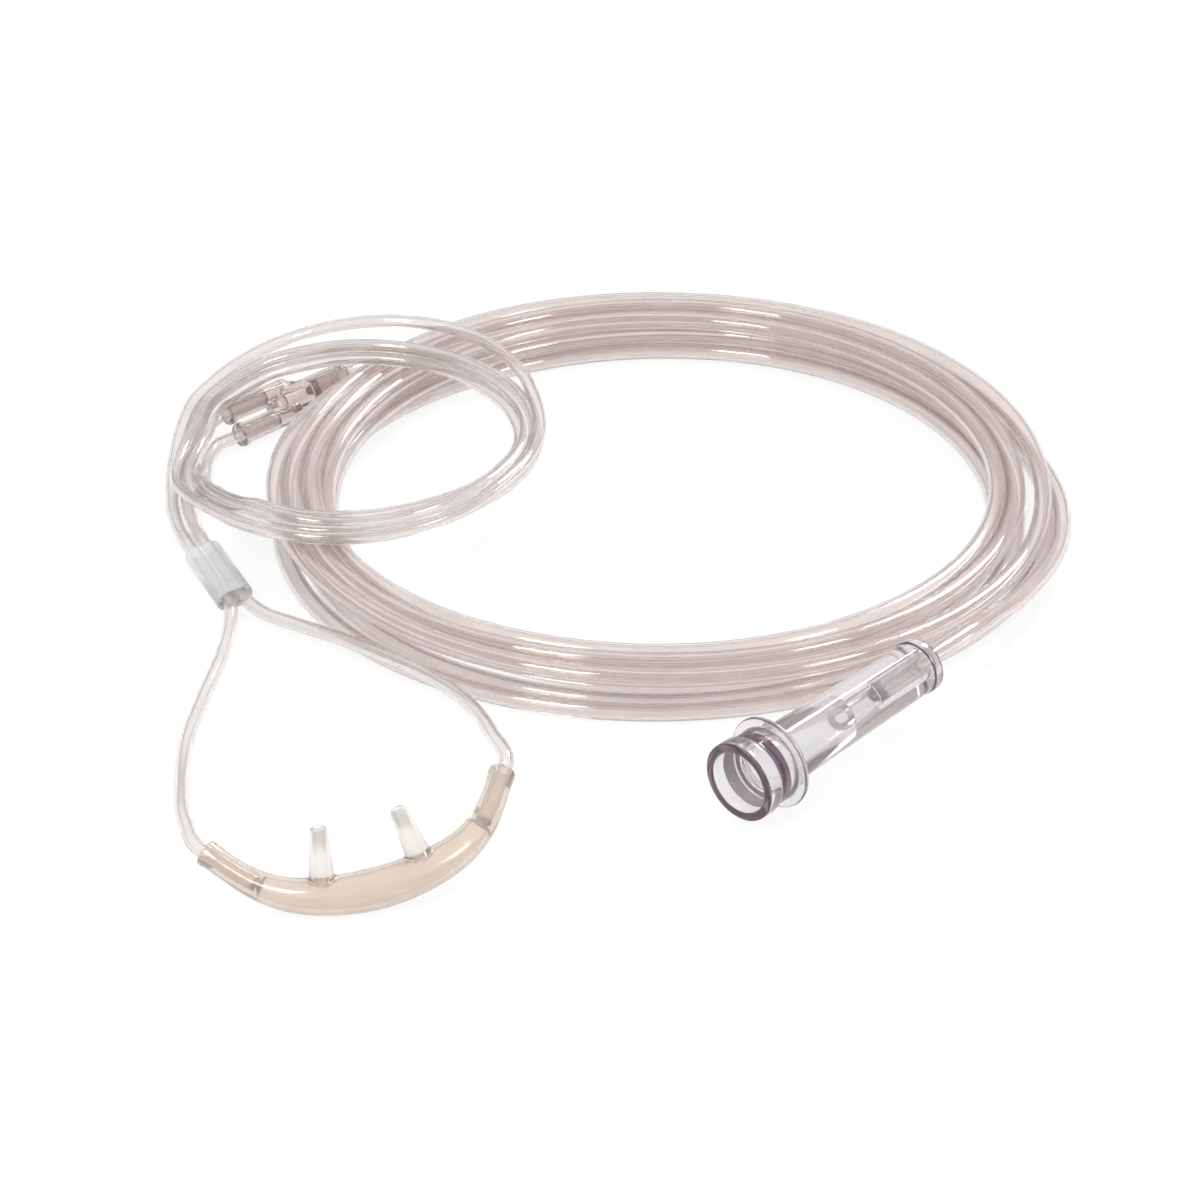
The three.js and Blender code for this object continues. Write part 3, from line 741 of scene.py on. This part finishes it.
def makeY():
    y = yConnector
    start, way, across, length = yFrame()
    barrel, stem = y["barrelDiameter"] / 2, y["stemDiameter"] / 2
    socket = smallTube["diameter"] / 2 + y["fit"]
    stemSocket = supplyTube["diameter"] / 2 + y["fit"]
    fork, rimLength = y["barrelLength"], y["rimLength"]
    smallEnd = y["smallSocketDepth"] + 0.1
    stemEnd = length - y["stemSocketDepth"] - 0.1

    def made(profile, shift, name):
        shape = spunSolid(rounded(profile, y["rounding"]), 48)
        bmesh.ops.translate(shape, vec=(0, shift * mm, 0), verts=shape.verts)
        return objectFrom(shape, name)

    outer, hollow = [], []
    for side in (-1, 1):
        shift = side * y["spacing"] / 2
        outer.append(made([
            (0, 0), (0, barrel + y["rim"]), (rimLength, barrel + y["rim"]), (rimLength + 0.5, barrel),
            (fork + 1, barrel), (fork + 1, 0),
        ], shift, "barrel"))
        hollow.append(made([
            (-1, 0), (-1, socket), (smallEnd, socket), (smallEnd, y["passage"] / 2),
            (fork, y["passage"] / 2), (fork, 0),
        ], shift, "bore"))
    outer.append(made([
        (fork - 2.5, 0), (fork - 2.5, stem), (length - rimLength - 0.5, stem),
        (length - rimLength, stem + y["rim"]), (length, stem + y["rim"]), (length, 0),
    ], 0, "stem"))
    hollow.append(made([
        (fork - 2, 0), (fork - 2, y["passage"]), (stemEnd, y["passage"] / 2), (stemEnd, stemSocket),
        (length + 1, stemSocket), (length + 1, 0),
    ], 0, "bore"))
    # a flat web fills the fork between the barrels and the stem
    web = bmesh.new()
    outline = [
        (fork - y["webBack"], -y["spacing"] / 2), (fork, -y["spacing"] / 2 - barrel + 0.2),
        (fork + y["webAhead"], 0.1 - stem), (fork + y["webAhead"], stem - 0.1),
        (fork, y["spacing"] / 2 + barrel - 0.2), (fork - y["webBack"], y["spacing"] / 2),
    ]
    below = -y["webThickness"] / 2 * mm
    face = web.faces.new([web.verts.new((a * mm, b * mm, below)) for a, b in outline])
    lifted = bmesh.ops.extrude_face_region(web, geom=[face])
    moved = [g for g in lifted["geom"] if isinstance(g, bmesh.types.BMVert)]
    bmesh.ops.translate(web, vec=(0, 0, y["webThickness"] * mm), verts=moved)
    bmesh.ops.recalc_face_normals(web, faces=web.faces)
    bmesh.ops.bevel(
        web, geom=web.edges[:], offset=0.5 * mm, offset_type="OFFSET", affect="EDGES",
        segments=3, profile=0.5, material=-1,
    )
    cross = bmesh.new()
    bmesh.ops.create_cube(cross, size=1)
    bmesh.ops.scale(cross, vec=(2 * mm, y["spacing"] * mm, y["passage"] * mm), verts=cross.verts)
    bmesh.ops.translate(cross, vec=((fork - 2) * mm, 0, 0), verts=cross.verts)
    outer.append(objectFrom(web, "web"))
    hollow.append(objectFrom(cross, "bore"))
    piece = combined(outer[0], outer[1:], "UNION")
    piece = combined(piece, hollow, "DIFFERENCE")
    piece.name = "clear_y_connector"
    piece.data.transform(basis(way, across, way.cross(across), start))
    smoothByAngle(piece)
    return piece


def makeSleeve():
    centre, way, across, boreHalf, flatHalf = slideFrame()
    segments = 14

    def oval(radius):
        points = []
        for middle, first in ((flatHalf, -90), (-flatHalf, 90)):
            for k in range(segments + 1):
                angle = math.radians(first + 180 * k / segments)
                points.append((middle + radius * math.cos(angle), radius * math.sin(angle)))
        return points

    shape = bmesh.new()
    half = slide["length"] / 2
    rings = []
    for radius in (boreHalf + slide["wall"], boreHalf):
        ring = [shape.verts.new((a * mm, b * mm, -half * mm)) for a, b in oval(radius)]
        rings += [shape.edges.new((p, q)) for p, q in zip(ring, ring[1:] + ring[:1])]
    bmesh.ops.bridge_loops(shape, edges=rings)
    lifted = bmesh.ops.extrude_face_region(shape, geom=shape.faces[:])
    moved = [g for g in lifted["geom"] if isinstance(g, bmesh.types.BMVert)]
    bmesh.ops.translate(shape, vec=(0, 0, slide["length"] * mm), verts=moved)
    bmesh.ops.recalc_face_normals(shape, faces=shape.faces)
    ends = [
        e for e in shape.edges
        if abs(abs(e.verts[0].co.z) - half * mm) < 1e-6 and abs(e.verts[0].co.z - e.verts[1].co.z) < 1e-6
        and e.calc_face_angle(0) > 1
    ]
    bmesh.ops.bevel(
        shape, geom=ends, offset=0.22 * mm, offset_type="OFFSET", affect="EDGES",
        segments=3, profile=0.5, material=-1,
    )
    upright = way.cross(across).normalized()
    piece = objectFrom(shape, "frosted_slide_sleeve", basis(across, upright, way, centre))
    smoothByAngle(piece, 50)
    return piece


def variedTube(name, line, radii, sides):
    # a capped solid along the line whose radius changes from point to point
    data = bpy.data.curves.new(name, "CURVE")
    data.dimensions = "3D"
    data.twist_mode = "MINIMUM"
    data.bevel_depth = mm
    data.bevel_resolution = sides // 2 - 2
    data.use_fill_caps = True
    spline = data.splines.new("POLY")
    spline.points.add(len(line) - 1)
    for point, place, radius in zip(spline.points, line, radii):
        point.co = (*onTable(place), 1)
        point.radius = radius
    holder = bpy.data.objects.new(name, data)
    bpy.context.scene.collection.objects.link(holder)
    bpy.context.view_layer.update()
    evaluated = holder.evaluated_get(bpy.context.evaluated_depsgraph_get())
    mesh = bpy.data.meshes.new_from_object(evaluated)
    bpy.data.objects.remove(holder)
    shape = bmesh.new()
    shape.from_mesh(mesh)
    bmesh.ops.remove_doubles(shape, verts=shape.verts, dist=1e-6)
    bmesh.ops.recalc_face_normals(shape, faces=shape.faces)
    return objectFrom(shape, name)


def faceRadius(along):
    f = facepiece
    swell = math.sin(math.pi * min(1, max(0, along / faceLength))) ** f["swellPower"]
    flare = max(0, 1 - min(along, faceLength - along) / f["flare"]) ** 2
    return (f["neck"] + (f["belly"] - f["neck"]) * swell + (f["end"] - f["neck"]) * flare) / 2


def prongWay(side):
    lean = math.radians(facepiece["lean"])
    toe = math.radians(side * facepiece["toeIn"] + facepiece["sway"])
    way = faceNormal * math.cos(lean) + faceInward * math.sin(lean)
    return (way * math.cos(toe) - faceChord * math.sin(toe)).normalized()


def prongRoot(side):
    f = facepiece
    return facePoint(faceLength / 2 + f["prongShift"] + side * f["prongSpacing"] / 2)


def makeFacepiece():
    f = facepiece
    count = 100
    stops = [faceLength * i / (count - 1) for i in range(count)]
    body = variedTube("body", [facePoint(a) for a in stops], [faceRadius(a) for a in stops], 32)
    skin = f["belly"] / 2
    reach = f["prongLength"] + skin
    base, tip = f["prongBase"] / 2, f["prongTip"] / 2
    # distance from the bar's middle line and radius, from the root to the rounded tip
    taper = [
        (0, base), (skin - 1, base + 0.1), (skin, base), (skin + 2, base - 0.35), (reach - 4, tip + 0.25),
        (reach - 1.2, tip + 0.02), (reach - 0.5, tip - 0.12), (reach - 0.1, tip - 0.45), (reach, tip - 0.6),
    ]
    prongs, bores = [], []
    for side in (-1, 1):
        root, way = prongRoot(side), prongWay(side)
        prongs.append(variedTube("prong", [root + way * s for s, _ in taper], [r for _, r in taper], 28))
        bores.append(variedTube("bore", [root, root + way * (reach + 1)], [f["prongBore"] / 2] * 2, 24))
    piece = combined(body, prongs, "UNION")
    remesh = piece.modifiers.new("fillet", "REMESH")
    remesh.mode = "VOXEL"
    remesh.voxel_size = f["voxel"] * mm
    soften = piece.modifiers.new("soften", "SMOOTH")
    soften.factor = 0.5
    soften.iterations = 10
    bpy.context.view_layer.update()
    applyModifiers(piece)
    # one passage from socket to socket, which widens with the belly
    socket, depth = smallTube["diameter"] / 2 + f["fit"], f["socketDepth"]
    steps = [(-1, socket), (depth + 0.1, socket), (depth + 0.3, f["passage"] / 2)]
    hollow = [depth + 0.8 + k * (faceLength - 2 * depth - 1.6) / 24 for k in range(25)]
    inside = [(a, max(f["passage"] / 2, faceRadius(a) - f["wall"])) for a in hollow]
    steps = steps + inside + [(faceLength - a, r) for a, r in reversed(steps)]
    spots, sizes = [], []
    for (a, r), (b, q) in zip(steps, steps[1:]):
        pieces = max(1, round((b - a) / 1.0))
        for k in range(pieces):
            spots.append(facePoint(a + (b - a) * k / pieces))
            sizes.append(r + (q - r) * k / pieces)
    spots.append(facePoint(faceLength + 1))
    sizes.append(socket)
    passage = variedTube("passage", spots, sizes, 24)
    piece = combined(piece, [passage] + bores, "DIFFERENCE")
    piece.name = "soft_facepiece_with_prongs"
    piece.data.shade_smooth()
    return piece


connectorPiece = makeConnector()
print("connector spun", len(connectorPiece.data.polygons))
yPiece = makeY()
print("y connector joined", len(yPiece.data.polygons))
sleevePiece = makeSleeve()
print("sleeve drawn", len(sleevePiece.data.polygons))
facePiece = makeFacepiece()
print("facepiece moulded", len(facePiece.data.polygons))


# Materials


def linear(hexColour):
    out = []
    for i in (0, 2, 4):
        value = int(hexColour[i:i + 2], 16) / 255
        out.append(value / 12.92 if value <= 0.04045 else ((value + 0.055) / 1.055) ** 2.4)
    return (*out, 1.0)


def addNode(tree, kind, settings=None, inputs=None):
    node = tree.nodes.new(kind)
    for name, value in (settings or {}).items():
        setattr(node, name, value)
    for name, value in (inputs or {}).items():
        if isinstance(value, bpy.types.NodeSocket):
            tree.links.new(value, node.inputs[name])
        else:
            node.inputs[name].default_value = value
    return node


def newMaterial(name):
    material = bpy.data.materials.new(name)
    material.use_nodes = True
    material.node_tree.nodes.clear()
    return material, material.node_tree


def clearPlastic(name, look):
    # hazed in faint patches, with a tint that deepens with the thickness that light crosses
    material, tree = newMaterial(name)
    place = addNode(tree, "ShaderNodeTexCoord")
    patches = addNode(tree, "ShaderNodeTexNoise", None, {
        "Vector": place.outputs["Object"], "Scale": 1 / (look["patch"] * mm), "Detail": 3.0,
    })
    haze = addNode(tree, "ShaderNodeMapRange", None, {
        "Value": patches.outputs["Fac"], "From Min": 0.3, "From Max": 0.7,
        "To Min": look["roughness"][0], "To Max": look["roughness"][1],
    })
    colour = addNode(tree, "ShaderNodeValToRGB", None, {"Fac": patches.outputs["Fac"]})
    for stop, shade in zip(colour.color_ramp.elements, look["colour"]):
        stop.color = linear(shade)
    shader = addNode(tree, "ShaderNodeBsdfPrincipled", None, {
        "Base Color": colour.outputs["Color"], "IOR": look["ior"], "Roughness": haze.outputs["Result"],
        "Transmission Weight": look["transmission"],
    })
    if look.get("grain"):
        grain = addNode(tree, "ShaderNodeTexNoise", None, {
            "Vector": place.outputs["Object"], "Scale": 1 / (look["grain"][0] * mm), "Detail": 2.0,
        })
        bump = addNode(tree, "ShaderNodeBump", None, {
            "Strength": 1.0, "Distance": look["grain"][1] * mm, "Height": grain.outputs["Fac"],
        })
        tree.links.new(bump.outputs["Normal"], shader.inputs["Normal"])
    output = addNode(tree, "ShaderNodeOutputMaterial")
    tree.links.new(shader.outputs["BSDF"], output.inputs["Surface"])
    if look.get("absorb"):
        red, green, blue = look["absorb"]
        density = 2 * max(look["absorb"])
        volume = addNode(tree, "ShaderNodeVolumeAbsorption", None, {
            "Color": (1 - red / density, 1 - green / density, 1 - blue / density, 1.0), "Density": density,
        })
        tree.links.new(volume.outputs["Volume"], output.inputs["Volume"])
    return material


# Extruded soft vinyl: glossy and faintly cloudy, a mauve toner that shows where strands lie deep
supplyVinyl = clearPlastic("extruded_mauve_vinyl", {
    "colour": ("F9F4F3", "EBE4E2"), "patch": 12, "roughness": (0.0, 0.04), "ior": 1.5,
    "transmission": 0.92, "absorb": (12, 18, 19),
})
# The same vinyl drawn thin: nearly colourless
smallVinyl = clearPlastic("extruded_clear_vinyl", {
    "colour": ("FDFCFB", "F0EEED"), "patch": 10, "roughness": (0.0, 0.04), "ior": 1.5,
    "transmission": 0.94, "absorb": (30, 46, 50),
})
# Dip moulded vinyl: soft satin, pale peach in its wall and orange along its edges
peachVinyl = clearPlastic("dip_moulded_peach_vinyl", {
    "colour": ("F7F0EA", "EBE2DA"), "patch": 6, "roughness": (0.1, 0.2), "ior": 1.42,
    "transmission": 0.86, "absorb": (24, 36, 50), "grain": (2.5, 0.02),
})
# The prongs of the same moulding, drawn thin and nearly white
prongVinyl = clearPlastic("dip_moulded_prong_vinyl", {
    "colour": ("FEFDFC", "F7F5F2"), "patch": 4, "roughness": (0.1, 0.2), "ior": 1.36,
    "transmission": 0.7, "absorb": (6, 9, 12), "grain": (2.5, 0.02),
})
# Injection moulded styrene: hard and glassy. Its IOR is low, so that light gets through the thick wall
clearStyrene = clearPlastic("moulded_clear_styrene", {
    "colour": ("F8F8F9", "EDEDEF"), "patch": 9, "roughness": (0.02, 0.06), "ior": 1.34,
    "transmission": 0.92, "absorb": (16, 19, 18),
})
# A deeper toner for the small Y piece
tonedStyrene = clearPlastic("moulded_toned_styrene", {
    "colour": ("F2ECEA", "E6DEDC"), "patch": 5, "roughness": (0.02, 0.06), "ior": 1.36,
    "transmission": 0.92, "absorb": (18, 28, 30),
})
# The same styrene darkened to mauve at its rims and steps: painted shade standing in for the dark lines
# that refraction draws there
paintedShadeStyrene = clearPlastic("moulded_styrene_painted_shade", {
    "colour": ("7E6A74", "70606A"), "patch": 5, "roughness": (0.04, 0.1), "ior": 1.32,
    "transmission": 0.72, "absorb": (16, 20, 16),
})
# Cut polyethylene sleeve: milky, it scatters what shines through
frostedSleeve = clearPlastic("frosted_polyethylene", {
    "colour": ("FDFEFF", "F6F8FC"), "patch": 4, "roughness": (0.16, 0.26), "ior": 1.3,
    "transmission": 0.8, "grain": (0.8, 0.006),
})

for piece, material in (
    (supplyPiece, supplyVinyl), (leftPiece, smallVinyl), (rightPiece, smallVinyl),
    (facePiece, peachVinyl), (yPiece, tonedStyrene), (connectorPiece, clearStyrene),
    (sleevePiece, frostedSleeve),
):
    piece.data.materials.clear()
    piece.data.materials.append(material)
# Bands of the connector that get the painted shade: from and to along it, then nearest and farthest from
# its middle line
rear, way = connectorFrame()
front = supplyConnector["length"]
shelf = front - supplyConnector["mouthDepth"]
paintedShadeBands = [
    (front - 0.45, front + 1, 7.3, 12.0),  # mouth ring
    (shelf - 0.15, shelf + 0.15, 5.9, 7.0),  # shelf in the mouth
    (front - 7.7, front - 4.5, 8.4, 8.8),  # outside of the neck
    (0, front, 10.48, 10.62),  # both edges of the flange
    (-1, 0.5, 5.9, 12.0), (2.4, 2.9, 6.15, 6.33),  # rear end and the step behind its rim
]
connectorPiece.data.materials.append(paintedShadeStyrene)
for face in connectorPiece.data.polygons:
    offset = face.center - onTable(rear)
    along = offset.dot(way) / mm
    reach = (offset - way * along * mm).length / mm
    if any(a < along < b and near < reach < far for a, b, near, far in paintedShadeBands):
        face.material_index = 1
# The part of each prong that stands out of the bar, from and to along it and within a radius
prongZone = {"from": 5, "to": 18, "within": 3.4}
facePiece.data.materials.append(prongVinyl)
for side in (-1, 1):
    foot, toward = onTable(prongRoot(side)), prongWay(side)
    for face in facePiece.data.polygons:
        offset = face.center - foot
        out = offset.dot(toward)
        aside = (offset - toward * out).length
        if prongZone["from"] * mm < out < prongZone["to"] * mm and aside < prongZone["within"] * mm:
            face.material_index = 1
print("materials set")

# Frame: what each piece rides on and stands for
for piece in (supplyPiece, leftPiece, rightPiece, facePiece, yPiece, connectorPiece):
    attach(piece, "cannula")
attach(sleevePiece, "sleeve")
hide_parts("supply_tube_lead", "supply_coil", "supply_tube_end")
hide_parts("left_tube_lead", "left_tube_loop", "left_tube", "small_coil")
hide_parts("right_tube_lead", "right_tube")
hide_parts("nasal_facepiece")
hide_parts("y_connector")
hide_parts("supply_connector")
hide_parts("slide_sleeve")


leftPath.reverse()
rightPath.reverse()


# Studio: a white table lit from all round
def makeStage():
    shape = bmesh.new()
    bmesh.ops.create_grid(shape, x_segments=1, y_segments=1, size=6.0)
    floor = objectFrom(shape, "white_table")
    material, tree = newMaterial("white_table_top")
    glow = addNode(tree, "ShaderNodeEmission", None, {"Color": (1, 1, 1, 1), "Strength": 0.99})
    matte = addNode(tree, "ShaderNodeBsdfDiffuse", None, {"Color": (0.9, 0.9, 0.9, 1)})
    both = addNode(tree, "ShaderNodeMixShader", None, {
        "Fac": 0.12, 1: glow.outputs["Emission"], 2: matte.outputs["BSDF"],
    })
    output = addNode(tree, "ShaderNodeOutputMaterial")
    tree.links.new(both.outputs["Shader"], output.inputs["Surface"])
    floor.data.materials.append(material)
    world = bpy.data.worlds.new("studio")
    bpy.context.scene.world = world
    world.use_nodes = True
    tree = world.node_tree
    tree.nodes.clear()
    place = addNode(tree, "ShaderNodeTexCoord")
    split = addNode(tree, "ShaderNodeSeparateXYZ", None, {"Vector": place.outputs["Generated"]})
    ramp = addNode(tree, "ShaderNodeValToRGB", None, {"Fac": split.outputs["Z"]})
    stops = ramp.color_ramp.elements
    stops[0].position = 0.12
    stops[0].color = (0.15, 0.13, 0.135, 1)
    stops[1].position = 0.36
    stops[1].color = (1, 1, 1, 1)
    sky = addNode(tree, "ShaderNodeBackground", None, {"Color": ramp.outputs["Color"], "Strength": 1.0})
    output = addNode(tree, "ShaderNodeOutputWorld")
    tree.links.new(sky.outputs["Background"], output.inputs["Surface"])


def makeLamps():
    for name, place, size, power, colour in (
        ("key", (-0.5, -0.7, 1.1), 0.4, 12.0, (1.0, 0.96, 0.9)),
        ("rim", (0.6, 1.0, 0.9), 0.4, 12.0, (1.0, 1.0, 1.0)),
        ("side", (0.9, -0.5, 0.8), 0.3, 6.0, (1.0, 0.93, 0.85)),
    ):
        lamp = bpy.data.objects.new(name, bpy.data.lights.new(name, "AREA"))
        bpy.context.scene.collection.objects.link(lamp)
        lamp.data.energy = power
        lamp.data.size = size
        lamp.data.color = colour
        lamp.location = place
        lamp.rotation_euler = (-Vector(place)).to_track_quat("-Z", "Y").to_euler()


makeStage()
makeLamps()
scene = bpy.context.scene
scene.view_settings.view_transform = "Standard"
scene.cycles.max_bounces = 28
scene.cycles.transmission_bounces = 28
scene.cycles.glossy_bounces = 12
scene.cycles.transparent_max_bounces = 24
print("studio lit")
